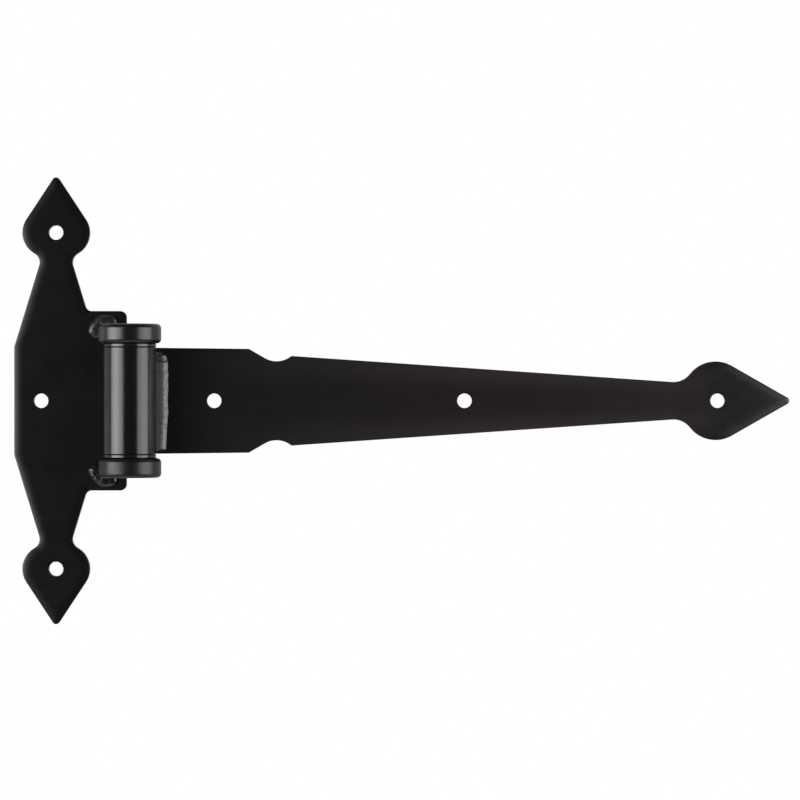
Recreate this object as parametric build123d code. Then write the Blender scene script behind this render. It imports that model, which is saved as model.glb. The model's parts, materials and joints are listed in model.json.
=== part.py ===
from build123d import *
import math
import os

# Tee hinge for a gate or a shed door, in millimetres
# X runs along the strap, Z along the pin, and Y points into the post
# The backs of both leaves lie in the plane Y = 0
# The origin is midway between the two end holes of the post plate

# Sheet that both leaves are cut from
leaf_thickness = 5
edge_roll = 1.6
hole_diameter = 7.5
hole_roll = 0.5

# Barrel, from the pin outwards
pin_diameter = 16
running_clearance = 0.05
bush_wall = 2.5
tube_wall = 2.9
collar_step = 2.55
root_gap = 0.55

# Barrel, along the pin
tube_length = 55
tube_chamfer = 0.45
bush_length = 18
flange_thickness = 1.8
flange_chamfer = 0.35
end_play = 0.1
collar_height = 10
collar_rounding = 2.3
pin_recess = 0.4
pin_chamfer = 0.8

# Post plate: a tapered body, two spear ends and a tab that carries the collars
post_height = 230.6
post_half_width = 21.6
post_straight_length = 55.6
post_taper_end_width = 7
post_spear_length = 28.5
post_lobe_radius = 12.4
post_lobe_spread = 5
post_neck_radius = 5.4
post_tip_radius = 2
post_middle_hole_offset = 7.7
pin_offset = 39.2
tab_setback = 2.8
tab_corner_radius = 3.3

# Strap: a broad root, a notched shoulder and a long taper to a spear end
leaf_gap = 2.5
strap_length = 339.2
shoulder_width = 53.6
shoulder_distance = 60.4
shoulder_angle = 30
notch_radius = 12.1
notch_distance = 74.6
waist_width = 40.8
cusp_width = 46.3
strap_taper_end_width = 16.4
strap_spear_length = 38
strap_lobe_radius = 16.5
strap_lobe_spread = 3.8
strap_neck_radius = 10.8
strap_tip_radius = 1.9
near_hole_distance = 42.4
middle_hole_distance = 171.6
tip_hole_setback = 37

# Welds
fillet_reach = 5.65
fillet_climb_angle = 22
fillet_face_radius = 12
fillet_end_margin = 2
fillet_end_radius = 4
fillet_root_distance = 5
ripple_pitch = 3.4
ripple_height = 0.35
puddle_radius = 5.4
puddle_count = 5
puddle_offset = 1.2
weld_land = 1.5
seam_run = 6.2
seam_turn = 5
seam_corner_radius = 2.4

# Sizes that follow
pin_radius = pin_diameter / 2
bush_bore_radius = pin_radius + running_clearance
bush_radius = bush_bore_radius + bush_wall
tube_radius = bush_radius + tube_wall
collar_radius = tube_radius + collar_step
front_y = -leaf_thickness
pin_x = pin_offset
pin_y = front_y - root_gap - tube_radius
flange_face = tube_length / 2 + flange_thickness
collar_inner = flange_face + end_play
collar_outer = collar_inner + collar_height
tab_half_height = collar_outer + puddle_radius + weld_land
post_lobe_z = post_height / 2 - post_spear_length
strap_end_x = pin_x - tab_setback + leaf_gap
strap_lobe_x = pin_x + strap_length - strap_spear_length
roll = min(edge_roll, 0.8 * post_tip_radius, 0.8 * strap_tip_radius)


def spear_head(spear_length, lobe_radius, lobe_spread, tip_radius):
    # Two round lobes drawn together to a blunt tip, with the lobes' middle at the origin
    lobes = Pos(0, lobe_spread) * Circle(lobe_radius) + Pos(0, -lobe_spread) * Circle(lobe_radius)
    tip = Pos(spear_length - tip_radius, 0) * Circle(tip_radius)
    return make_hull(lobes.edges() + tip.edges())


def press_leaf(outline, hole_points):
    # A flat leaf whose front edges and hole rims are rolled over by the press
    for x, z in hole_points:
        outline -= Pos(x, z) * Circle(hole_diameter / 2)
    leaf = extrude(Plane.XZ * outline, leaf_thickness)
    front = leaf.faces().sort_by(Axis.Y)[0]
    leaf = fillet(front.outer_wire().edges(), roll)
    front = leaf.faces().sort_by(Axis.Y)[0]
    rims = [edge for wire in front.inner_wires() for edge in wire.edges()]
    return fillet(rims, hole_roll)


def make_post_plate():
    half_straight = post_straight_length / 2
    taper_end = post_taper_end_width / 2
    outline = Polygon(
        (post_half_width, half_straight),
        (taper_end, post_lobe_z),
        (-taper_end, post_lobe_z),
        (-post_half_width, half_straight),
        (-post_half_width, -half_straight),
        (-taper_end, -post_lobe_z),
        (taper_end, -post_lobe_z),
        (post_half_width, -half_straight),
        align=None,
    )
    head = spear_head(post_spear_length, post_lobe_radius, post_lobe_spread, post_tip_radius)
    outline += Pos(0, post_lobe_z) * Rot(0, 0, 90) * head
    outline += Pos(0, -post_lobe_z) * Rot(0, 0, -90) * head
    lobe_back = post_lobe_z - post_lobe_radius
    necks = [v for v in outline.vertices() if lobe_back < abs(v.Y) < post_lobe_z]
    outline = fillet(necks, post_neck_radius)
    tab_end = pin_x - tab_setback
    outline += Pos(tab_end / 2, 0) * Rectangle(tab_end, 2 * tab_half_height)
    corners = [v for v in outline.vertices() if abs(abs(v.Y) - tab_half_height) < 0.01 and v.X > 0]
    outline = fillet(corners, tab_corner_radius)
    holes = [(0, post_lobe_z), (-post_middle_hole_offset, 0), (0, -post_lobe_z)]
    return press_leaf(outline, holes)


def make_strap():
    # The root is as wide as the tube is long, and the shoulder's slope runs into the notch
    shoulder_x = pin_x + shoulder_distance
    notch_x = pin_x + notch_distance
    notch_z = waist_width / 2 + notch_radius
    cusp_x = notch_x + math.sqrt(notch_radius**2 - (notch_z - cusp_width / 2) ** 2)
    taper = (cusp_width - strap_taper_end_width) / 2 / (strap_lobe_x - cusp_x)
    notch_half = cusp_width / 2 + taper * (cusp_x - notch_x)
    root = Polygon(
        (strap_end_x, -tube_length / 2),
        (shoulder_x, -shoulder_width / 2),
        (notch_x, -shoulder_width / 2),
        (notch_x, shoulder_width / 2),
        (shoulder_x, shoulder_width / 2),
        (strap_end_x, tube_length / 2),
        align=None,
    )
    shank = Polygon(
        (notch_x, -notch_half),
        (strap_lobe_x, -strap_taper_end_width / 2),
        (strap_lobe_x, strap_taper_end_width / 2),
        (notch_x, notch_half),
        align=None,
    )
    outline = root + shank
    slope = math.radians(shoulder_angle)
    slope_x = notch_x - notch_radius * math.sin(slope)
    slope_z = notch_z - notch_radius * math.cos(slope)
    for side in (1, -1):
        corners = [
            (slope_x, side * slope_z),
            (notch_x, side * notch_z),
            (notch_x, side * (slope_z + shoulder_width)),
            (slope_x - shoulder_width, side * (slope_z + shoulder_width * math.tan(slope))),
        ]
        outline -= Polygon(*corners[::side], align=None)
        outline -= Pos(notch_x, side * notch_z) * Circle(notch_radius)
    head = spear_head(strap_spear_length, strap_lobe_radius, strap_lobe_spread, strap_tip_radius)
    outline += Pos(strap_lobe_x, 0) * head
    lobe_back = strap_lobe_x - strap_lobe_radius
    necks = [v for v in outline.vertices() if lobe_back < v.X < strap_lobe_x]
    outline = fillet(necks, strap_neck_radius)
    tip_hole_x = pin_x + strap_length - tip_hole_setback
    hole_xs = [pin_x + near_hole_distance, pin_x + middle_hole_distance, tip_hole_x]
    return press_leaf(outline, [(x, 0) for x in hole_xs])


def make_tube():
    bore = Cylinder(bush_radius, tube_length)
    tube = Cylinder(tube_radius, tube_length) - bore
    rims = tube.edges().filter_by(GeomType.CIRCLE).sort_by(SortBy.RADIUS)[-2:]
    return Pos(pin_x, pin_y, 0) * chamfer(rims, tube_chamfer)


def make_bush(side):
    # A flanged sleeve pressed into one end of the tube, with the flange as wide as the tube
    upwards = (Align.CENTER, Align.CENTER, Align.MIN)
    flange = Cylinder(tube_radius, flange_thickness, align=upwards)
    rims = flange.edges().filter_by(GeomType.CIRCLE)
    flange = chamfer(rims, flange_chamfer)
    sleeve = Pos(0, 0, -bush_length) * Cylinder(bush_radius, bush_length, align=upwards)
    bush = Pos(0, 0, tube_length / 2) * (flange + sleeve) - Cylinder(bush_bore_radius, 3 * tube_length)
    if side < 0:
        bush = mirror(bush, Plane.XY)
    return Pos(pin_x, pin_y, 0) * bush


def make_collar(side):
    # A thick ring with rounded rims, ground flat at the back where it sits on the tab
    ring = Cylinder(collar_radius, collar_height)
    ring = fillet(ring.edges().filter_by(GeomType.CIRCLE), collar_rounding)
    ring -= Cylinder(pin_radius, collar_height)
    ring = Pos(pin_x, pin_y, side * (collar_inner + collar_height / 2)) * ring
    seat = Pos(pin_x, front_y, 0) * Box(
        2 * collar_radius, collar_radius, 3 * collar_outer, align=(Align.CENTER, Align.MIN, Align.CENTER)
    )
    return ring - seat


def make_pin():
    pin = Cylinder(pin_radius, 2 * (collar_outer - pin_recess))
    return Pos(pin_x, pin_y, 0) * chamfer(pin.edges().filter_by(GeomType.CIRCLE), pin_chamfer)


def make_barrel_weld():
    # A hollow-faced fillet between the tube and the strap, laid in overlapping ripples
    climb = math.radians(fillet_climb_angle)
    tube_toe = Vector(tube_radius * math.cos(climb), pin_y + tube_radius * math.sin(climb))
    strap_toe = Vector(tube_radius + fillet_reach, front_y)
    chord = strap_toe - tube_toe
    outward = Vector(chord.Y, -chord.X).normalized()
    rise = math.sqrt(fillet_face_radius**2 - (chord.length / 2) ** 2)
    center = (tube_toe + strap_toe) / 2 + outward * rise
    half_length = tube_length / 2 - fillet_end_margin
    ripple_half = half_length - fillet_end_radius
    ripple_count = max(1, round(2 * ripple_half / ripple_pitch))
    pitch = 2 * ripple_half / ripple_count
    deep = fillet_face_radius + fillet_end_radius
    turn = fillet_end_radius * math.sin(math.radians(45))
    far = 3 * fillet_face_radius
    with BuildPart() as face_cutter:
        with BuildSketch(Plane.XZ):
            with BuildLine():
                Polyline((deep, -half_length), (far, -half_length), (far, -tube_length))
                Polyline((far, -tube_length), (0, -tube_length), (0, tube_length), (far, tube_length))
                Polyline((far, tube_length), (far, half_length), (deep, half_length))
                for end in (-1, 1):
                    ThreePointArc(
                        (deep, end * half_length),
                        (deep - turn, end * (ripple_half + turn)),
                        (fillet_face_radius, end * ripple_half),
                    )
                for i in range(ripple_count):
                    start = -ripple_half + i * pitch
                    ThreePointArc(
                        (fillet_face_radius, start),
                        (fillet_face_radius - ripple_height, start + pitch / 2),
                        (fillet_face_radius, start + pitch),
                    )
            make_face()
        revolve(axis=Axis.Z)
    front_limit = tube_toe.Y - ripple_height
    wedge = Pos(fillet_root_distance, front_limit, 0) * Box(
        center.X - fillet_root_distance,
        front_y - front_limit,
        2 * half_length,
        align=(Align.MIN, Align.MIN, Align.CENTER),
    )
    wedge -= Pos(0, pin_y, 0) * Cylinder(tube_radius, 2 * tube_length)
    return Pos(pin_x, 0, 0) * (wedge - Pos(center.X, center.Y, 0) * face_cutter.part)


def make_collar_weld(side):
    # Puddles laid down the outer side of a collar and round the corner onto its end
    seam_x = pin_x - collar_radius - puddle_offset
    seam = FilletPolyline(
        (seam_x, collar_outer - seam_run),
        (seam_x, collar_outer),
        (seam_x + seam_turn, collar_outer),
        radius=seam_corner_radius,
    )
    puddles = Part()
    for i in range(puddle_count):
        spot = seam @ (i / (puddle_count - 1))
        puddles += Pos(spot.X, front_y, spot.Y) * Sphere(puddle_radius)
    puddles -= Pos(pin_x, pin_y, collar_outer) * Cylinder(
        collar_radius, 2 * collar_outer, align=(Align.CENTER, Align.CENTER, Align.MAX)
    )
    puddles -= Pos(pin_x, front_y, 0) * Box(
        4 * pin_x, 2 * puddle_radius, 4 * tab_half_height, align=(Align.CENTER, Align.MIN, Align.CENTER)
    )
    if side < 0:
        puddles = mirror(puddles, Plane.XY)
    return puddles


pieces = {
    "post_plate": make_post_plate(),
    "upper_collar": make_collar(1),
    "lower_collar": make_collar(-1),
    "upper_collar_weld": make_collar_weld(1),
    "lower_collar_weld": make_collar_weld(-1),
    "hinge_pin": make_pin(),
    "strap": make_strap(),
    "barrel_tube": make_tube(),
    "upper_bush": make_bush(1),
    "lower_bush": make_bush(-1),
    "barrel_weld": make_barrel_weld(),
}

os.makedirs("parts", exist_ok=True)
for name, piece in pieces.items():
    export_step(piece, os.path.join("parts", name + ".step"))
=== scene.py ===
import json
import math
import bmesh
import bpy
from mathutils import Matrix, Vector
from mathutils.geometry import delaunay_2d_cdt
from mathutils.kdtree import KDTree


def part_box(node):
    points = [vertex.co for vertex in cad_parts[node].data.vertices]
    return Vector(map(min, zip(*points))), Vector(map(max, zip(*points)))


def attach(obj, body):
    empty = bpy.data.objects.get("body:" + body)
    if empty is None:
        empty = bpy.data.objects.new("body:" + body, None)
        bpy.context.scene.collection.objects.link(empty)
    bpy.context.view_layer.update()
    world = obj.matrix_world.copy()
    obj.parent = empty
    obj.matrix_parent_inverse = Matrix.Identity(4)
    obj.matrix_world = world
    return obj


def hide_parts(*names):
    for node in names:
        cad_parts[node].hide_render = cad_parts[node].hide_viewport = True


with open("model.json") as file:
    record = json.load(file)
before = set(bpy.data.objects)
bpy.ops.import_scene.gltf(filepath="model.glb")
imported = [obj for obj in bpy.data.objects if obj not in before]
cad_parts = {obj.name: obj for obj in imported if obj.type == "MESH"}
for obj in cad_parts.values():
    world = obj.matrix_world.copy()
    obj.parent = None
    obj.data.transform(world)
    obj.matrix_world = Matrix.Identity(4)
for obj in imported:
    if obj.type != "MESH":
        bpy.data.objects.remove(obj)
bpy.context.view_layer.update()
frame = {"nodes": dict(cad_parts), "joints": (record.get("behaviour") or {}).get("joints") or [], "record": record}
scene = bpy.context.scene
scene.view_settings.view_transform = "Standard"
mm = 0.001

# places that everything else is measured from
pinX, pinY = frame["joints"][0]["pos_m"][:2]
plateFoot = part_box("post_plate")[0].z
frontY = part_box("strap")[0].y  # the leaves' front plane
tubeLow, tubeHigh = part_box("barrel_tube")
tubeRadius = (tubeHigh.x - tubeLow.x) / 2
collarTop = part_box("upper_collar")[1].z


def addNode(tree, kind, settings=None, inputs=None):
    node = tree.nodes.new(kind)
    for name, value in (settings or {}).items():
        setattr(node, name, value)
    for name, value in (inputs or {}).items():
        if isinstance(value, bpy.types.NodeSocket):
            tree.links.new(value, node.inputs[name])
        else:
            node.inputs[name].default_value = value
    return node


def addMath(tree, operation, first, second=0.0):
    node = addNode(tree, "ShaderNodeMath", {"operation": operation}, {0: first, 1: second})
    return node.outputs[0]


def addRange(tree, value, start, end, toStart=0.0, toEnd=1.0, smooth=False):
    settings = {"interpolation_type": "SMOOTHSTEP" if smooth else "LINEAR"}
    inputs = {"Value": value, "From Min": start, "From Max": end, "To Min": toStart, "To Max": toEnd}
    return addNode(tree, "ShaderNodeMapRange", settings, inputs).outputs["Result"]


mixSockets = {"FLOAT": (2, 3, 0), "RGBA": (6, 7, 2)}  # the Mix node's two inputs and its output


def addMix(tree, kind, share, first, last):
    firstSocket, lastSocket, output = mixSockets[kind]
    inputs = {"Factor": share, firstSocket: first, lastSocket: last}
    return addNode(tree, "ShaderNodeMix", {"data_type": kind}, inputs).outputs[output]


def addNoise(tree, place, size, detail):
    inputs = {"Vector": place, "Scale": addMath(tree, "DIVIDE", 1.0, size), "Detail": detail}
    return addNode(tree, "ShaderNodeTexNoise", {}, inputs).outputs["Fac"]


def addSockets(tree, way, sockets):
    for name, kind in sockets.items():
        tree.interface.new_socket(name, in_out=way, socket_type="NodeSocket" + kind)


def objectPlace(tree):
    return addNode(tree, "ShaderNodeTexCoord").outputs["Object"]


def partsOf(tree, vector):
    return addNode(tree, "ShaderNodeSeparateXYZ", {}, {"Vector": vector}).outputs


def addObject(name, data):
    obj = bpy.data.objects.new(name, data)
    scene.collection.objects.link(obj)
    return obj


# powder coat: an even black skin with orange peel, longer flow waves and a faint change of tone
skinDetail = {"tone": 3.0, "rub": 2.0, "peel": 1.5, "wave": 1.0}
noiseSpan = (0.3, 0.7)  # where most of a noise's values lie


def makeCoatSkin():
    tree = bpy.data.node_groups.new("coatSkin", "ShaderNodeTree")
    addSockets(tree, "INPUT", {
        "Deep Tone": "Color", "Pale Tone": "Color", "Tone Size": "Float",
        "Low Roughness": "Float", "High Roughness": "Float",
        "Peel Size": "Float", "Peel Height": "Float", "Wave Size": "Float", "Wave Height": "Float",
    })
    addSockets(tree, "OUTPUT", {"Color": "Color", "Roughness": "Float", "Height": "Float"})
    given = addNode(tree, "NodeGroupInput").outputs
    place = objectPlace(tree)
    tone = addNoise(tree, place, given["Tone Size"], skinDetail["tone"])
    color = addMix(tree, "RGBA", addRange(tree, tone, *noiseSpan), given["Deep Tone"], given["Pale Tone"])
    rub = addNoise(tree, place, given["Wave Size"], skinDetail["rub"])
    roughness = addRange(tree, rub, *noiseSpan, given["Low Roughness"], given["High Roughness"])
    peel = addNoise(tree, place, given["Peel Size"], skinDetail["peel"])
    wave = addNoise(tree, place, given["Wave Size"], skinDetail["wave"])
    peelRise = addMath(tree, "MULTIPLY", peel, given["Peel Height"])
    waveRise = addMath(tree, "MULTIPLY", wave, given["Wave Height"])
    height = addMath(tree, "ADD", peelRise, waveRise)
    addNode(tree, "NodeGroupOutput", {}, {"Color": color, "Roughness": roughness, "Height": height})
    return tree


coatSkin = makeCoatSkin()


def makeCoat(name, look, finishing=None):  # finishing may change the skin's colour and height
    material = bpy.data.materials.new(name)
    material.use_nodes = True
    tree = material.node_tree
    shader = tree.nodes["Principled BSDF"]
    shader.inputs["IOR"].default_value = look["ior"]
    skin = addNode(tree, "ShaderNodeGroup", {"node_tree": coatSkin}, look["skin"]).outputs
    color, height = skin["Color"], skin["Height"]
    if finishing:
        color, height = finishing(tree, look, color, height)
    bump = addNode(tree, "ShaderNodeBump", {}, {"Strength": 1.0, "Distance": 1.0, "Height": height})
    tree.links.new(color, shader.inputs["Base Color"])
    tree.links.new(skin["Roughness"], shader.inputs["Roughness"])
    tree.links.new(bump.outputs["Normal"], shader.inputs["Normal"])
    return material


plateLook = {
    "ior": 1.5,
    "skin": {
        "Deep Tone": (0.0034, 0.0034, 0.0034, 1), "Pale Tone": (0.0042, 0.0042, 0.0042, 1),
        "Tone Size": 60 * mm, "Low Roughness": 0.255, "High Roughness": 0.295,
        "Peel Size": 1.1 * mm, "Peel Height": 0.0022 * mm, "Wave Size": 14 * mm, "Wave Height": 0.010 * mm,
    },
}
plateCoat = makeCoat("plateCoat", plateLook)

strapLook = {
    "ior": 1.5,
    # painted light: the strap's colour grows paler and warmer towards its far end
    "paintedLightTone": (0.0124, 0.0090, 0.0106, 1), "paintedLightFrom": 70 * mm, "paintedLightTo": 210 * mm,
    # painted sheen along the strap's long edges
    "edgeSheenTone": (0.0235, 0.0190, 0.0208, 1), "sheenFrom": 0.25,  # share of the half width
    "taperFrom": 130 * mm, "taperTo": 322 * mm, "wideHalf": 22.0 * mm, "narrowHalf": 11.5 * mm,
    # the painted light dims again at the tip
    "tipDimmedTone": (0.0062, 0.0046, 0.0054, 1), "tipFrom": 316 * mm, "tipTo": 346 * mm,
    # these tones are paler than the plate's though both leaves share one coat: painted light
    "skin": {
        "Deep Tone": (0.0064, 0.0062, 0.0070, 1), "Pale Tone": (0.0072, 0.0070, 0.0078, 1),
        "Tone Size": 60 * mm, "Low Roughness": 0.255, "High Roughness": 0.29,
        "Peel Size": 1.1 * mm, "Peel Height": 0.0022 * mm, "Wave Size": 14 * mm, "Wave Height": 0.010 * mm,
    },
}


# painted light: the strap's colour turns warmer and paler along it, palest at its long edges as a painted sheen,
# and dims again at the tip
def paintLightOnStrap(tree, look, color, height):
    parts = partsOf(tree, objectPlace(tree))
    paintedLightShare = addRange(tree, parts["X"], look["paintedLightFrom"], look["paintedLightTo"])
    halfWidth = addRange(
        tree, parts["X"], look["taperFrom"], look["taperTo"], look["wideHalf"], look["narrowHalf"]
    )
    fromMiddle = addMath(tree, "DIVIDE", addMath(tree, "ABSOLUTE", parts["Z"]), halfWidth)
    nearEdge = addRange(tree, fromMiddle, look["sheenFrom"], 1.0, smooth=True)
    edgeSheenShare = addMath(tree, "MULTIPLY", nearEdge, paintedLightShare)
    tipShare = addRange(tree, parts["X"], look["tipFrom"], look["tipTo"], smooth=True)
    # painted light along the strap
    paintedLit = addMix(tree, "RGBA", paintedLightShare, color, look["paintedLightTone"])
    # painted sheen near the strap's long edges
    sheened = addMix(tree, "RGBA", edgeSheenShare, paintedLit, look["edgeSheenTone"])
    # painted light dimmed again towards the tip
    return addMix(tree, "RGBA", tipShare, sheened, look["tipDimmedTone"]), height


strapCoat = makeCoat("strapCoat", strapLook, paintLightOnStrap)

barrelLook = {
    "ior": 1.5,
    "skin": {
        "Deep Tone": (0.0046, 0.0046, 0.0048, 1), "Pale Tone": (0.0058, 0.0058, 0.0060, 1),
        "Tone Size": 25 * mm, "Low Roughness": 0.16, "High Roughness": 0.21,
        "Peel Size": 0.9 * mm, "Peel Height": 0.0020 * mm, "Wave Size": 7 * mm, "Wave Height": 0.012 * mm,
    },
}
barrelCoat = makeCoat("barrelCoat", barrelLook)

# weld that crept up the collars' left flanks: a grainy skin with a wandering edge, and a paler tone there that is
# a painted sheen
creepAndSheenShape = {
    "Edge": pinX - 10.3 * mm, "Fade": 0.9 * mm, "Wander": 3.4 * mm, "Wander Size": 3.0 * mm,
    "Grain Size": 0.9 * mm, "Grain Height": 0.09 * mm, "Creep Sheen Tone": (0.0260, 0.0260, 0.0265, 1),
}
creepDetail = {"wander": 1.0, "grain": 2.0}


def makeWeldCreepAndSheen():
    tree = bpy.data.node_groups.new("weldCreepAndSheen", "ShaderNodeTree")
    addSockets(tree, "INPUT", {
        "Color": "Color", "Creep Sheen Tone": "Color", "Sheen Share": "Float", "Edge": "Float", "Fade": "Float",
        "Wander": "Float", "Wander Size": "Float", "Grain Size": "Float", "Grain Height": "Float",
    })
    addSockets(tree, "OUTPUT", {"Color": "Color", "Height": "Float"})
    given = addNode(tree, "NodeGroupInput").outputs
    place = objectPlace(tree)
    wander = addNoise(tree, place, given["Wander Size"], creepDetail["wander"])
    shift = addMath(tree, "MULTIPLY", wander, given["Wander"])
    shifted = addMath(tree, "ADD", partsOf(tree, place)["X"], shift)
    fadeEnd = addMath(tree, "SUBTRACT", given["Edge"], given["Fade"])
    covered = addRange(tree, shifted, fadeEnd, given["Edge"], 1.0, 0.0)
    creepSheen = addMath(tree, "MULTIPLY", covered, given["Sheen Share"])
    # the paler creep tone is a painted sheen over the grainy weld creep
    color = addMix(tree, "RGBA", creepSheen, given["Color"], given["Creep Sheen Tone"])
    grain = addNoise(tree, place, given["Grain Size"], creepDetail["grain"])
    rise = addMath(tree, "MULTIPLY", grain, given["Grain Height"])
    addNode(tree, "NodeGroupOutput", {}, {"Color": color, "Height": addMath(tree, "MULTIPLY", rise, covered)})
    return tree


weldCreepAndSheen = makeWeldCreepAndSheen()


def creepUpWithSheen(tree, look, color, height):
    inputs = dict(creepAndSheenShape, **{"Color": color, "Sheen Share": look["creepSheenShare"]})
    creep = addNode(tree, "ShaderNodeGroup", {"node_tree": weldCreepAndSheen}, inputs).outputs
    return creep["Color"], addMath(tree, "ADD", height, creep["Height"])


collarLook = {
    "ior": 1.5,
    # share of the painted sheen on the flank
    "creepSheenShare": 1.0,
    "skin": {
        "Deep Tone": (0.0046, 0.0046, 0.0048, 1), "Pale Tone": (0.0060, 0.0060, 0.0062, 1),
        "Tone Size": 12 * mm, "Low Roughness": 0.22, "High Roughness": 0.30,
        "Peel Size": 1.0 * mm, "Peel Height": 0.0035 * mm, "Wave Size": 6 * mm, "Wave Height": 0.035 * mm,
    },
}
collarCoat = makeCoat("collarCoat", collarLook, creepUpWithSheen)

lowerCollarLook = {  # a little duller than the upper one
    "ior": 1.45,
    "creepSheenShare": 0.0,
    "skin": dict(collarLook["skin"], **{"Low Roughness": 0.31, "High Roughness": 0.41}),
}
lowerCollarCoat = makeCoat("lowerCollarCoat", lowerCollarLook, creepUpWithSheen)

weldLook = {
    "ior": 1.6,
    "skin": {
        "Deep Tone": (0.0044, 0.0044, 0.0046, 1), "Pale Tone": (0.0066, 0.0066, 0.0068, 1),
        "Tone Size": 4 * mm, "Low Roughness": 0.12, "High Roughness": 0.32,
        "Peel Size": 0.8 * mm, "Peel Height": 0.085 * mm, "Wave Size": 1.7 * mm, "Wave Height": 0.09 * mm,
    },
}
weldCoat = makeCoat("weldCoat", weldLook)

# painted light: the upper puddle's paler tones make it a lit copy of the lower puddle's coat
litUpperPuddleLook = {
    "ior": 1.6,
    "skin": {
        "Deep Tone": (0.0090, 0.0090, 0.0092, 1), "Pale Tone": (0.0300, 0.0300, 0.0305, 1),
        "Tone Size": 1.8 * mm, "Low Roughness": 0.10, "High Roughness": 0.38,
        "Peel Size": 0.7 * mm, "Peel Height": 0.06 * mm, "Wave Size": 2.0 * mm, "Wave Height": 0.09 * mm,
    },
}
litUpperPuddleCoat = makeCoat("litUpperPuddleCoat", litUpperPuddleLook)

lowerPuddleTones = {"Deep Tone": (0.0040, 0.0040, 0.0041, 1), "Pale Tone": (0.0100, 0.0100, 0.0102, 1)}
lowerPuddleLook = {
    "ior": 1.6,
    "skin": dict(litUpperPuddleLook["skin"], **lowerPuddleTones),
}
lowerPuddleCoat = makeCoat("lowerPuddleCoat", lowerPuddleLook)

bushLook = {
    "ior": 1.54,
    "skin": {
        "Deep Tone": (0.0075, 0.0075, 0.0078, 1), "Pale Tone": (0.0095, 0.0095, 0.0098, 1),
        "Tone Size": 10 * mm, "Low Roughness": 0.13, "High Roughness": 0.19,
        "Peel Size": 0.7 * mm, "Peel Height": 0.0010 * mm, "Wave Size": 5 * mm, "Wave Height": 0.004 * mm,
    },
}
bushPolymer = makeCoat("bushPolymer", bushLook)

pinLook = {
    "ior": 1.5,
    "toolPitch": 0.5 * mm, "toolHeight": 0.004 * mm,
    "skin": {
        "Deep Tone": (0.0080, 0.0080, 0.0082, 1), "Pale Tone": (0.0130, 0.0130, 0.0133, 1),
        "Tone Size": 5 * mm, "Low Roughness": 0.26, "High Roughness": 0.36,
        "Peel Size": 0.6 * mm, "Peel Height": 0.002 * mm, "Wave Size": 4 * mm, "Wave Height": 0.006 * mm,
    },
}


def turnedRings(tree, look, color, height):  # marks that the lathe left round the pin's axis
    inputs = {"Vector": objectPlace(tree), "Location": (-pinX, -pinY, 0)}
    parts = partsOf(tree, addNode(tree, "ShaderNodeMapping", {}, inputs).outputs["Vector"])
    flat = addNode(tree, "ShaderNodeCombineXYZ", {}, {"X": parts["X"], "Y": parts["Y"]}).outputs["Vector"]
    radius = addNode(tree, "ShaderNodeVectorMath", {"operation": "LENGTH"}, {0: flat}).outputs["Value"]
    turn = addMath(tree, "MULTIPLY", radius, 2 * math.pi / look["toolPitch"])
    rings = addMath(tree, "MULTIPLY", addMath(tree, "SINE", turn), look["toolHeight"])
    return color, addMath(tree, "ADD", height, rings)


pinCoat = makeCoat("pinCoat", pinLook, turnedRings)

coatOfSlot = {
    "leaf_coat": plateCoat, "barrel_coat": barrelCoat, "weld_coat": weldCoat,
    "pin_coat": pinCoat, "bush_polymer": bushPolymer,
}
coatOfNode = {"upper_collar": collarCoat, "lower_collar": lowerCollarCoat}
slotOfNode = {}
for subpart in frame["record"]["subparts"]:
    slotOfNode[subpart["node"]] = subpart["material_slot"]
bodyOfNode = {}
for body, members in frame["record"]["behaviour"]["bodies"].items():
    for member in members:
        bodyOfNode[member] = body
for name, obj in frame["nodes"].items():
    obj.data.materials.clear()
    obj.data.materials.append(coatOfNode.get(name, coatOfSlot[slotOfNode[name]]))
print("coats given to", len(frame["nodes"]), "solids")


def standFor(obj, node):
    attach(obj, bodyOfNode[node])
    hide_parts(node)


# pressed leaves: the solids' own outline and holes, with a wide soft roll round the front
leafShape = {
    "rollWidth": 4.8 * mm, "rollDepth": 0.50 * mm, "rollSteps": 7,
    "cornerRadius": 0.15 * mm, "cornerSteps": 4,
    "rollAtBarrel": 0.3,  # share of the roll that is left under the collars and the barrel weld
    "barrelReach": 16 * mm, "barrelFade": 10 * mm, "barrelAbove": 7 * mm,
    "flatMargin": 0.8 * mm, "fillStep": 6 * mm, "fillRoom": 0.6,
    "backBreak": 0.35 * mm, "outlineStep": 1.2 * mm, "closePoints": 0.25 * mm,
    "holeRim": 0.15 * mm, "holeRimSteps": 3, "holeSegments": 64,
    "sharpAngle": 38,
}
# how closely the solids' outline is read, and what counts as inside it
leafReading = {
    "mergeGap": 0.002 * mm, "backFacing": 0.99, "backSlack": 0.01 * mm, "mitreLimit": 0.5,
    "roomStep": 0.02 * mm, "roomPoints": 4, "roomShare": 0.985, "roomSlack": 0.01 * mm,
    "fillGap": 0.0001 * mm, "fillInside": 1, "holeShare": 0.999,
}


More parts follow.
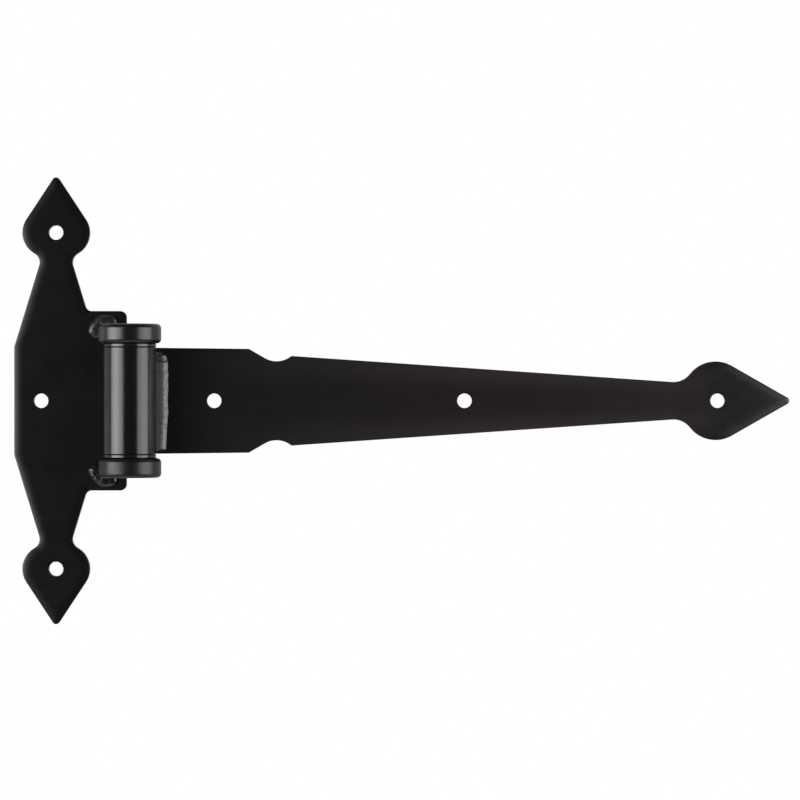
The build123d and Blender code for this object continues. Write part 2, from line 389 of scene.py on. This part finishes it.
def backLoops(node):  # closed loops of (x, z) round the solid's back face, the longest first
    mesh = bmesh.new()
    mesh.from_mesh(frame["nodes"][node].data)
    bmesh.ops.remove_doubles(mesh, verts=mesh.verts, dist=leafReading["mergeGap"])
    backFaces = set()
    for face in mesh.faces:
        level = abs(face.calc_center_median().y) < leafReading["backSlack"]
        if face.normal.y > leafReading["backFacing"] and level:
            backFaces.add(face.index)
    neighbours = {}
    for edge in mesh.edges:
        if len([face for face in edge.link_faces if face.index in backFaces]) == 1:
            first, last = edge.verts
            neighbours.setdefault(first.index, []).append(last.index)
            neighbours.setdefault(last.index, []).append(first.index)
    mesh.verts.ensure_lookup_table()
    loops = []
    waiting = sorted(neighbours)
    while waiting:
        loop = [waiting[0]]
        following = neighbours[loop[0]][0]
        while following != loop[0]:
            loop.append(following)
            ahead, other = neighbours[following]
            following = other if ahead == loop[-2] else ahead
        waiting = [index for index in waiting if index not in set(loop)]
        loops.append([Vector((mesh.verts[index].co.x, mesh.verts[index].co.z)) for index in loop])
    mesh.free()
    return sorted(loops, key=loopLength, reverse=True)


def loopLength(loop):
    return sum((loop[i] - loop[i - 1]).length for i in range(len(loop)))


def evenOutline(loop):  # counter-clockwise, long runs divided, crowded points thinned
    area = sum(loop[i - 1].cross(loop[i]) for i in range(len(loop)))
    ordered = loop if area > 0 else loop[::-1]
    close = leafShape["closePoints"]
    spread = []
    for i, point in enumerate(ordered):
        before = ordered[i - 1]
        run = (point - before).length
        if run < close and spread and (point - spread[-1]).length < close:
            continue
        count = max(1, math.ceil(run / leafShape["outlineStep"]))
        spread += [before.lerp(point, (k + 1) / count) for k in range(count)]
    return spread


def inwardWays(loop):  # the way in from each outline point, mitred at corners
    ways = []
    for i, point in enumerate(loop):
        before = (point - loop[i - 1]).normalized()
        after = (loop[(i + 1) % len(loop)] - point).normalized()
        mean = (Vector((-before.y, before.x)) + Vector((-after.y, after.x))).normalized()
        ways.append(mean / max(leafReading["mitreLimit"], mean.dot(Vector((-before.y, before.x)))))
    return ways


def roomInside(loop, ways, reach):  # how far each point may go in before it meets the far side
    count = leafReading["roomPoints"]
    tree = KDTree(len(loop) * count)
    for i, point in enumerate(loop):
        for k in range(count):
            spot = loop[i - 1].lerp(point, (k + 1) / count)
            tree.insert((spot.x, spot.y, 0), i * count + k)
    tree.balance()
    rooms = []
    trial = leafReading["roomStep"]
    for point, way in zip(loop, ways):
        room = 0.0
        while room < reach:
            spot = point + way * (room + trial)
            nearest = tree.find((spot.x, spot.y, 0))[2]
            if nearest < leafReading["roomShare"] * (room + trial) - leafReading["roomSlack"]:
                break
            room += trial
        rooms.append(room)
    return rooms


def circleOf(loop):
    middle = sum(loop, Vector((0, 0))) / len(loop)
    return middle, sum((point - middle).length for point in loop) / len(loop)


def rollShares(outline):  # the share of the roll that each outline point keeps
    shares = []
    left = leafShape["rollAtBarrel"]
    for point in outline:
        near = (abs(point.x - pinX) - leafShape["barrelReach"]) / leafShape["barrelFade"]
        fade = min(1.0, max(0.0, near))
        if abs(point.y) < collarTop + leafShape["barrelAbove"]:
            shares.append(left + (1 - left) * fade * fade * (3 - 2 * fade))
        else:
            shares.append(1.0)
    return shares


def rollDrop(inset, width, depth):  # a shallow slump towards the edge, then a tight round corner
    slump = depth * max(0.0, 1 - inset / width) ** 2
    away = max(0.0, 1 - inset / leafShape["cornerRadius"])
    return slump + leafShape["cornerRadius"] * (1 - math.sqrt(max(0.0, 1 - away * away)))


def fillFlat(mesh, rings, y, extras):  # triangles from the outer ring to the holes, through the extra points
    spots = []
    owners = []
    edges = []
    for ring in rings:
        first = len(spots)
        for i, vert in enumerate(ring):
            spots.append(Vector((vert.co.x, vert.co.z)))
            owners.append(vert)
            edges.append((first + i, first + (i + 1) % len(ring)))
    heights = [y] * len(spots)
    for spot, height in extras:
        spots.append(spot)
        heights.append(height)
    near = KDTree(len(spots))
    for i, spot in enumerate(spots):
        near.insert((spot.x, spot.y, 0), i)
    near.balance()
    step = leafShape["fillStep"]
    left, right = min(spot.x for spot in spots), max(spot.x for spot in spots)
    bottom, top = min(spot.y for spot in spots), max(spot.y for spot in spots)
    for column in range(int((right - left) / step)):
        for row in range(int((top - bottom) / step)):
            x, z = left + (column + 0.5) * step, bottom + (row + 0.5) * step
            if near.find((x, z, 0))[2] > leafShape["fillRoom"] * step:
                spots.append(Vector((x, z)))
                heights.append(y)
    holes = [circleOf([Vector((vert.co.x, vert.co.z)) for vert in ring]) for ring in rings[1:]]
    placed, _, faces, origins, _, _ = delaunay_2d_cdt(
        spots, edges, [], leafReading["fillInside"], leafReading["fillGap"]
    )
    verts = {}
    for face in faces:
        centre = sum((placed[k] for k in face), Vector((0, 0))) / len(face)
        if any((centre - middle).length < leafReading["holeShare"] * radius for middle, radius in holes):
            continue
        for k in face:
            if k not in verts:
                origin = min(origins[k])
                if origin < len(owners):
                    verts[k] = owners[origin]
                else:
                    verts[k] = mesh.verts.new((placed[k].x, heights[origin], placed[k].y))
        mesh.faces.new([verts[k] for k in face])


def pressLeaf(node, coat):
    loops = backLoops(node)
    outline = evenOutline(loops[0])
    ways = inwardWays(outline)
    rooms = roomInside(outline, ways, leafShape["rollWidth"] + leafShape["flatMargin"])
    shares = rollShares(outline)
    mesh = bmesh.new()

    def addRing(points, heights):
        return [mesh.verts.new((point.x, y, point.y)) for point, y in zip(points, heights)]

    def insetRing(inset, heights):
        return addRing([point + way * inset for point, way in zip(outline, ways)], heights)

    def holeRing(middle, radius, y):
        ring = []
        for i in range(leafShape["holeSegments"]):
            turn = i / leafShape["holeSegments"] * 2 * math.pi
            ring.append(middle + Vector((math.cos(turn), math.sin(turn))) * radius)
        return addRing(ring, [y] * len(ring))

    def joinRings(first, last):
        for i in range(len(first)):
            mesh.faces.new((first[i - 1], first[i], last[i], last[i - 1]))

    # back edge, side wall, then the roll up to the flat front
    backBreak = leafShape["backBreak"]
    back = insetRing(backBreak, [0.0] * len(outline))
    previous = addRing(outline, [-backBreak] * len(outline))
    joinRings(back, previous)
    corner = leafShape["cornerRadius"]
    for step in range(leafShape["cornerSteps"] + 1):
        inset = corner * (1 - math.cos(step / leafShape["cornerSteps"] * math.pi / 2))
        heights = []
        for share in shares:
            drop = rollDrop(inset, leafShape["rollWidth"] * share, leafShape["rollDepth"] * share)
            heights.append(frontY + drop)
        ring = insetRing(inset, heights)
        joinRings(previous, ring)
        previous = ring
    rollSpots = {}
    for step in range(1, leafShape["rollSteps"] + 2):
        for point, way, room, share in zip(outline, ways, rooms, shares):
            width = leafShape["rollWidth"] * share
            inset = corner + (width - corner) * step / leafShape["rollSteps"]
            spot = point + way * inset
            cell = (round(spot.x / leafShape["closePoints"]), round(spot.y / leafShape["closePoints"]))
            if inset < room and cell not in rollSpots:
                rollSpots[cell] = (spot, frontY + rollDrop(inset, width, leafShape["rollDepth"] * share))

    # screw holes with softened front rims
    frontRings = [previous]
    backRings = [back]
    rim = leafShape["holeRim"]
    for loop in loops[1:]:
        middle, radius = circleOf(loop)
        inner = holeRing(middle, radius, 0.0)
        backRings.append(inner)
        for step in range(leafShape["holeRimSteps"] + 1):
            angle = step / leafShape["holeRimSteps"] * math.pi / 2
            wider = rim * (1 - math.cos(angle))
            outer = holeRing(middle, radius + wider, frontY + rim * (1 - math.sin(angle)))
            joinRings(outer, inner)
            inner = outer
        flat = holeRing(middle, radius + (rim + leafShape["flatMargin"]), frontY)
        joinRings(flat, inner)
        frontRings.append(flat)
    fillFlat(mesh, frontRings, frontY, rollSpots.values())
    fillFlat(mesh, backRings, 0.0, [])
    bmesh.ops.recalc_face_normals(mesh, faces=mesh.faces)
    data = bpy.data.meshes.new(node + "_pressed")
    mesh.to_mesh(data)
    mesh.free()
    data.shade_smooth()
    data.set_sharp_from_angle(angle=math.radians(leafShape["sharpAngle"]))
    leaf = addObject(node + "_pressed", data)
    data.materials.append(coat)
    standFor(leaf, node)
    print(leaf.name, "pressed:", len(data.polygons), "faces,", len(loops) - 1, "holes")


pressLeaf("post_plate", plateCoat)
pressLeaf("strap", strapCoat)


# weld beads: a section carried along a seam, with ripples, run-outs at the ends and lumps
beadRule = {
    "crestPower": 2.0, "unevenScale": 0.45, "unevenDetail": 1.0, "endPower": 0.55,
    "lumpDetail": 2.0, "noiseMiddle": 0.5, "mergeGap": 0.001 * mm,
}


def makeWeldBead():
    tree = bpy.data.node_groups.new("weldBead", "GeometryNodeTree")
    addSockets(tree, "INPUT", {
        "Seam": "Geometry", "Section": "Object", "Step": "Float", "Ripple Pitch": "Float",
        "Ripple Share": "Float", "Uneven Share": "Float", "Run Out": "Float", "Run Out Share": "Float",
        "Bow": "Vector", "Lump Size": "Float", "Lump Height": "Float", "Back Limit": "Float",
        "Seed": "Float", "Finish": "Material",
    })
    addSockets(tree, "OUTPUT", {"Bead": "Geometry"})
    given = addNode(tree, "NodeGroupInput").outputs

    def change(kind, geometry, inputs=None):
        return addNode(tree, kind, {}, dict(inputs or {}, Geometry=geometry)).outputs["Geometry"]

    def scaled(vector, factor):
        inputs = {0: vector, "Scale": factor}
        return addNode(tree, "ShaderNodeVectorMath", {"operation": "SCALE"}, inputs).outputs["Vector"]

    inputs = {"Curve": given["Seam"], "Length": given["Step"]}
    seam = addNode(tree, "GeometryNodeResampleCurve", {"mode": "LENGTH"}, inputs).outputs["Curve"]
    along = addNode(tree, "GeometryNodeSplineParameter").outputs["Length"]
    whole = addNode(tree, "GeometryNodeSplineLength").outputs["Length"]

    # the section's size along the seam
    pitches = addMath(tree, "DIVIDE", along, given["Ripple Pitch"])
    wave = addMath(tree, "SINE", addMath(tree, "MULTIPLY", pitches, math.pi))
    crest = addMath(tree, "POWER", wave, beadRule["crestPower"])
    valley = addMath(tree, "MULTIPLY", addMath(tree, "SUBTRACT", 1.0, crest), given["Ripple Share"])
    inputs = {
        "W": addMath(tree, "ADD", pitches, given["Seed"]),
        "Scale": beadRule["unevenScale"], "Detail": beadRule["unevenDetail"],
    }
    uneven = addNode(tree, "ShaderNodeTexNoise", {"noise_dimensions": "1D"}, inputs).outputs["Fac"]
    offMiddle = addMath(tree, "SUBTRACT", uneven, beadRule["noiseMiddle"])
    drift = addMath(tree, "MULTIPLY", offMiddle, given["Uneven Share"])
    fromEnd = addMath(tree, "MINIMUM", along, addMath(tree, "SUBTRACT", whole, along))
    inFromEnd = addRange(tree, fromEnd, 0.0, given["Run Out"])
    rounded = addMath(tree, "POWER", inFromEnd, beadRule["endPower"])
    runOut = addRange(tree, rounded, 0.0, 1.0, given["Run Out Share"], 1.0)
    fullSize = addMath(tree, "ADD", addMath(tree, "SUBTRACT", 1.0, valley), drift)
    share = addNode(tree, "GeometryNodeInputRadius").outputs["Radius"]
    size = addMath(tree, "MULTIPLY", addMath(tree, "MULTIPLY", fullSize, runOut), share)

    section = addNode(tree, "GeometryNodeObjectInfo", {}, {"Object": given["Section"]}).outputs["Geometry"]
    across = addNode(tree, "GeometryNodeCaptureAttribute", {}, {"Geometry": section})
    across.capture_items.new("FLOAT", "Across")
    tree.links.new(addNode(tree, "GeometryNodeSplineParameter").outputs["Factor"], across.inputs["Across"])
    inputs = {"Curve": seam, "Profile Curve": across.outputs["Geometry"], "Scale": size, "Fill Caps": True}
    bead = addNode(tree, "GeometryNodeCurveToMesh", {}, inputs).outputs["Mesh"]

    # ripples trail behind the arc in bows
    middle = addMath(tree, "SUBTRACT", addMath(tree, "MULTIPLY", across.outputs["Across"], 2.0), 1.0)
    bowed = addMath(tree, "SUBTRACT", 1.0, addMath(tree, "MULTIPLY", middle, middle))
    bead = change("GeometryNodeSetPosition", bead, {"Offset": scaled(given["Bow"], bowed)})

    # lumps along the surface normal
    position = addNode(tree, "GeometryNodeInputPosition").outputs["Position"]
    normal = addNode(tree, "GeometryNodeInputNormal").outputs["Normal"]
    inputs = {
        "Vector": position, "W": given["Seed"],
        "Scale": addMath(tree, "DIVIDE", 1.0, given["Lump Size"]), "Detail": beadRule["lumpDetail"],
    }
    lump = addNode(tree, "ShaderNodeTexNoise", {"noise_dimensions": "4D"}, inputs).outputs["Fac"]
    proud = addMath(tree, "SUBTRACT", lump, beadRule["noiseMiddle"])
    lift = addMath(tree, "MULTIPLY", proud, given["Lump Height"])
    bead = change("GeometryNodeSetPosition", bead, {"Offset": scaled(normal, lift)})

    # nothing goes deeper into the leaf than the weld's root
    parts = partsOf(tree, position)
    limited = addMath(tree, "MINIMUM", parts["Y"], given["Back Limit"])
    inputs = {"X": parts["X"], "Y": limited, "Z": parts["Z"]}
    seated = addNode(tree, "ShaderNodeCombineXYZ", {}, inputs).outputs["Vector"]
    bead = change("GeometryNodeSetPosition", bead, {"Position": seated})
    bead = change("GeometryNodeSetShadeSmooth", bead)
    bead = change("GeometryNodeRealizeInstances", bead)
    bead = change("GeometryNodeSetMaterial", bead, {"Material": given["Finish"]})
    addNode(tree, "NodeGroupOutput", {}, {"Bead": bead})
    return tree


weldBead = makeWeldBead()


def lineOf(name, points, shares=None, closed=False):
    data = bpy.data.curves.new(name, "CURVE")
    data.dimensions = "3D"
    spline = data.splines.new("POLY")
    spline.points.add(len(points) - 1)
    for spot, point in zip(spline.points, points):
        spot.co = (point[0], point[1], point[2], 1)
    for spot, share in zip(spline.points, shares or []):
        spot.radius = share
    spline.use_cyclic_u = closed
    return addObject(name, data)


def layWeld(node, seamPoints, sectionPoints, sizes, coat, seamShares=None):
    seam = lineOf(node + "_seam", seamPoints, seamShares)
    section = lineOf(node + "_section", sectionPoints, closed=True)
    modifier = seam.modifiers.new("bead", "NODES")
    modifier.node_group = weldBead
    values = dict(sizes, Section=section, Finish=coat)
    for item in weldBead.interface.items_tree:
        if item.item_type == "SOCKET" and item.name in values:
            modifier[item.identifier] = values[item.name]
    bpy.context.view_layer.update()
    shown = seam.evaluated_get(bpy.context.evaluated_depsgraph_get())
    data = bpy.data.meshes.new_from_object(shown)
    data.name = node + "_bead"
    seam.modifiers.remove(modifier)
    bpy.data.objects.remove(seam)
    bpy.data.objects.remove(section)
    mesh = bmesh.new()
    mesh.from_mesh(data)
    bmesh.ops.remove_doubles(mesh, verts=mesh.verts, dist=beadRule["mergeGap"])
    bmesh.ops.recalc_face_normals(mesh, faces=mesh.faces)
    mesh.to_mesh(data)
    mesh.free()
    bead = addObject(node + "_bead", data)
    standFor(bead, node)
    print(bead.name, "laid:", len(data.polygons), "faces")


# fillet between the tube and the strap: its face leans back at the toe and stands steep at the tube
filletShape = {
    "rootIn": 5.0 * mm,  # from the pin's axis to the root of the bead
    "toeBack": 0.5 * mm, "climbAngle": 23, "toeLean": 25, "topLean": 62, "kneeWeight": 2.6,
    "sink": 0.4 * mm, "soleMiddle": 0.5, "faceSteps": 18, "rootSteps": 8,
    # the bead's share of its full size at these heights; it narrows slowly below and quickly above
    "seam": [(-26.7 * mm, 0.915), (-7 * mm, 1.0), (18.5 * mm, 1.0), (23.2 * mm, 0.92), (25.4 * mm, 0.78)],
}
filletBead = {
    "Step": 0.3 * mm, "Ripple Pitch": 2.8 * mm, "Ripple Share": 0.006, "Uneven Share": 0.05,
    "Run Out": 1.0 * mm, "Run Out Share": 0.6, "Bow": (0, 0, 0.5 * mm),
    "Lump Size": 0.8 * mm, "Lump Height": 0.26 * mm, "Back Limit": frontY + 0.3 * mm, "Seed": 3.0,
}


def filletSection():
    sink = filletShape["sink"]
    inner = tubeRadius - sink

    def insideTube(turn):  # measured from the bead's root
        x = inner * math.cos(turn) - filletShape["rootIn"]
        return Vector((x, pinY + inner * math.sin(turn) - frontY))

    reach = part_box("barrel_weld")[1].x - pinX - filletShape["toeBack"]
    toe = Vector((reach - filletShape["rootIn"], sink))
    climb = math.radians(filletShape["climbAngle"])
    high = insideTube(climb)
    toeLean, topLean = math.radians(filletShape["toeLean"]), math.radians(filletShape["topLean"])
    toeWay = Vector((-math.cos(toeLean), -math.sin(toeLean)))
    topWay = Vector((-math.cos(topLean), -math.sin(topLean)))
    # the bend lies where the lines along both leans cross
    bend = toe + toeWay * (high - toe).cross(topWay) / toeWay.cross(topWay)
    points = [(0, sink, 0), (toe.x * filletShape["soleMiddle"], sink, 0)]
    for step in range(filletShape["faceSteps"] + 1):
        t = step / filletShape["faceSteps"]
        pull = 2 * filletShape["kneeWeight"] * t * (1 - t)
        spot = (toe * (1 - t) ** 2 + bend * pull + high * t ** 2) / ((1 - t) ** 2 + pull + t ** 2)
        points.append((spot.x, spot.y, 0))
    rootTurn = math.acos(filletShape["rootIn"] / tubeRadius)
    for step in range(1, filletShape["rootSteps"] + 1):
        spot = insideTube(climb + (rootTurn - climb) * step / filletShape["rootSteps"])
        points.append((spot.x, spot.y, 0))
    return points


filletX = pinX + filletShape["rootIn"]
filletSeam = [(filletX, frontY, z) for z, share in filletShape["seam"]]
filletShares = [share for z, share in filletShape["seam"]]
layWeld("barrel_weld", filletSeam, filletSection(), filletBead, weldCoat, filletShares)

# puddles beside and over each collar: low lenses of weld that overlap round the corner
puddleShape = {
    "halfWidth": 5.3 * mm, "crown": 2.2 * mm, "edgePower": 6, "faceSteps": 40, "sink": 0.3 * mm,
    "low": 6.8 * mm, "run": 1.2 * mm, "corner": 3.0 * mm, "cornerSteps": 8,
}
puddleBead = {
    "Step": 0.35 * mm, "Ripple Pitch": 5.5 * mm, "Ripple Share": 0.10, "Uneven Share": 0.16,
    "Run Out": 3.0 * mm, "Run Out Share": 0.5, "Bow": (0, 0, 0),
    "Lump Size": 1.5 * mm, "Lump Height": 0.55 * mm, "Back Limit": frontY + 0.3 * mm,
}


def puddleSeam(node, side):
    low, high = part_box(node)
    x = low.x + puddleShape["halfWidth"]
    top = max(abs(low.z), abs(high.z)) - puddleShape["halfWidth"]
    corner = puddleShape["corner"]
    points = [(x, frontY, side * (top - puddleShape["low"]))]
    for step in range(puddleShape["cornerSteps"] + 1):
        turn = step / puddleShape["cornerSteps"] * math.pi / 2
        height = top - corner * (1 - math.sin(turn))
        points.append((x + corner * (1 - math.cos(turn)), frontY, side * height))
    points.append((high.x - puddleShape["run"], frontY, side * top))
    return points


def puddleSection(side):
    half = puddleShape["halfWidth"]
    points = [(half, side * puddleShape["sink"], 0), (-half, side * puddleShape["sink"], 0)]
    for step in range(puddleShape["faceSteps"] + 1):  # a flat top that falls off round its edge
        across = -math.cos(math.pi * step / puddleShape["faceSteps"])
        rise = puddleShape["crown"] * (1 - abs(across) ** puddleShape["edgePower"])
        points.append((half * across, -side * rise, 0))
    return points


for node, side, seed, coat in (
    ("upper_collar_weld", 1, 11.0, litUpperPuddleCoat),
    ("lower_collar_weld", -1, 27.0, lowerPuddleCoat),
):
    layWeld(node, puddleSeam(node, side), puddleSection(side), dict(puddleBead, Seed=seed), coat)


# camera square on to the front, where the photograph was taken from
cameraPlace = {
    "right": 138.3 * mm, "up": 0.4 * mm, "away": 2000 * mm, "frameWidth": 412.7 * mm, "sensor": 36.0,
}
cameraData = bpy.data.cameras.new("camera")
cameraData.sensor_width = cameraPlace["sensor"]
cameraData.lens = cameraPlace["sensor"] * cameraPlace["away"] / cameraPlace["frameWidth"]
camera = addObject("camera", cameraData)
camera.location = (pinX + cameraPlace["right"], frontY - cameraPlace["away"], cameraPlace["up"])
camera.rotation_euler = (math.pi / 2, 0, 0)
scene.camera = camera

# two soft boxes beside the hinge; both fade towards the camera and a little at their far sides
lampPlaces = {
    "leftBox": {
        "angle": -56.3, "away": 1000 * mm, "wide": 1180 * mm, "tall": 560 * mm, "radiance": 7.4,
        "nearSide": 1.0, "nearFrom": 0.5, "nearFade": 0.35,
        "farSide": 0.0, "farFrom": 0.36, "farFade": 0.45,
    },
    "rightBox": {
        "angle": 62, "away": 810 * mm, "wide": 790 * mm, "tall": 450 * mm, "radiance": 4.6,
        "nearSide": 0.0, "nearFrom": 0.5, "nearFade": 0.62,
        "farSide": 1.0, "farFrom": 0.62, "farFade": 0.80,
    },
}
for name, place in lampPlaces.items():
    data = bpy.data.lights.new(name, "AREA")
    data.shape = "RECTANGLE"
    data.size = place["wide"]
    data.size_y = place["tall"]
    data.energy = place["radiance"] * math.pi * place["wide"] * place["tall"]
    data.use_nodes = True
    lampTree = data.node_tree
    sideways = partsOf(lampTree, addNode(lampTree, "ShaderNodeNewGeometry").outputs["Parametric"])["X"]
    nearGlow = addRange(lampTree, sideways, place["nearSide"], place["nearFrom"], place["nearFade"])
    farGlow = addRange(lampTree, sideways, place["farSide"], place["farFrom"], place["farFade"])
    glow = addMath(lampTree, "MULTIPLY", nearGlow, farGlow)
    lampTree.links.new(glow, lampTree.nodes["Emission"].inputs["Strength"])
    lamp = addObject(name, data)
    lamp.visible_camera = False
    turn = math.radians(place["angle"])
    lamp.location = (pinX + place["away"] * math.sin(turn), pinY - place["away"] * math.cos(turn), 0)
    lamp.rotation_euler = (math.pi / 2, 0, turn)

# white studio behind, dim in front; the camera sees it white
worldLook = {"behind": 0.55, "inFront": 0.03, "fill": 0.25, "edge": 0.12, "white": (1, 1, 1, 1), "seen": 1.0}
world = bpy.data.worlds.new("studio")
scene.world = world
world.use_nodes = True
worldTree = world.node_tree
worldTree.nodes.clear()
wayParts = partsOf(worldTree, addNode(worldTree, "ShaderNodeTexCoord").outputs["Generated"])
behind = addRange(
    worldTree, wayParts["Y"], 0.0, worldLook["edge"], worldLook["inFront"], worldLook["behind"], smooth=True
)
rays = addNode(worldTree, "ShaderNodeLightPath").outputs
mirrored = addMath(worldTree, "MAXIMUM", rays["Is Glossy Ray"], rays["Is Transmission Ray"])
unseen = addMix(worldTree, "FLOAT", mirrored, worldLook["fill"], behind)
strength = addMix(worldTree, "FLOAT", rays["Is Camera Ray"], unseen, worldLook["seen"])
inputs = {"Color": worldLook["white"], "Strength": strength}
background = addNode(worldTree, "ShaderNodeBackground", {}, inputs).outputs["Background"]
addNode(worldTree, "ShaderNodeOutputWorld", {}, {"Surface": background})

# pale floor below the photograph's frame, nearly white where it is seen; it keeps some of the shadow
floorPlace = {
    "below": 700 * mm, "left": -4000 * mm, "right": 4000 * mm, "near": -900 * mm, "far": 4000 * mm,
    "paint": (0.86, 0.86, 0.86, 1), "roughness": 0.7,
    "glow": (1, 1, 1, 1), "seen": 0.88, "mirrored": 0.3,
}
floorMesh = bpy.data.meshes.new("floor")
floorZ = plateFoot - floorPlace["below"]
floorMesh.from_pydata(
    [(floorPlace["left"], floorPlace["near"], floorZ), (floorPlace["right"], floorPlace["near"], floorZ),
     (floorPlace["right"], floorPlace["far"], floorZ), (floorPlace["left"], floorPlace["far"], floorZ)],
    [], [(0, 1, 2, 3)],
)
floor = addObject("floor", floorMesh)
floorPaint = bpy.data.materials.new("floorPaint")
floorPaint.use_nodes = True
floorTree = floorPaint.node_tree
floorShader = floorTree.nodes["Principled BSDF"]
floorShader.inputs["Base Color"].default_value = floorPlace["paint"]
floorShader.inputs["Roughness"].default_value = floorPlace["roughness"]
floorRays = addNode(floorTree, "ShaderNodeLightPath").outputs
mirroredFloor = addMath(floorTree, "MAXIMUM", floorRays["Is Glossy Ray"], floorRays["Is Transmission Ray"])
seenShare = addMath(floorTree, "MULTIPLY", floorRays["Is Camera Ray"], floorPlace["seen"])
mirroredShare = addMath(floorTree, "MULTIPLY", mirroredFloor, floorPlace["mirrored"])
glowShare = addMath(floorTree, "MAXIMUM", seenShare, mirroredShare)
floorGlow = addNode(floorTree, "ShaderNodeEmission", {}, {"Color": floorPlace["glow"], "Strength": 1.0})
inputs = {0: glowShare, 1: floorShader.outputs["BSDF"], 2: floorGlow.outputs["Emission"]}
floorMix = addNode(floorTree, "ShaderNodeMixShader", {}, inputs)
floorTree.links.new(floorMix.outputs["Shader"], floorTree.nodes["Material Output"].inputs["Surface"])
floorMesh.materials.append(floorPaint)
print("camera, lamps and floor placed")
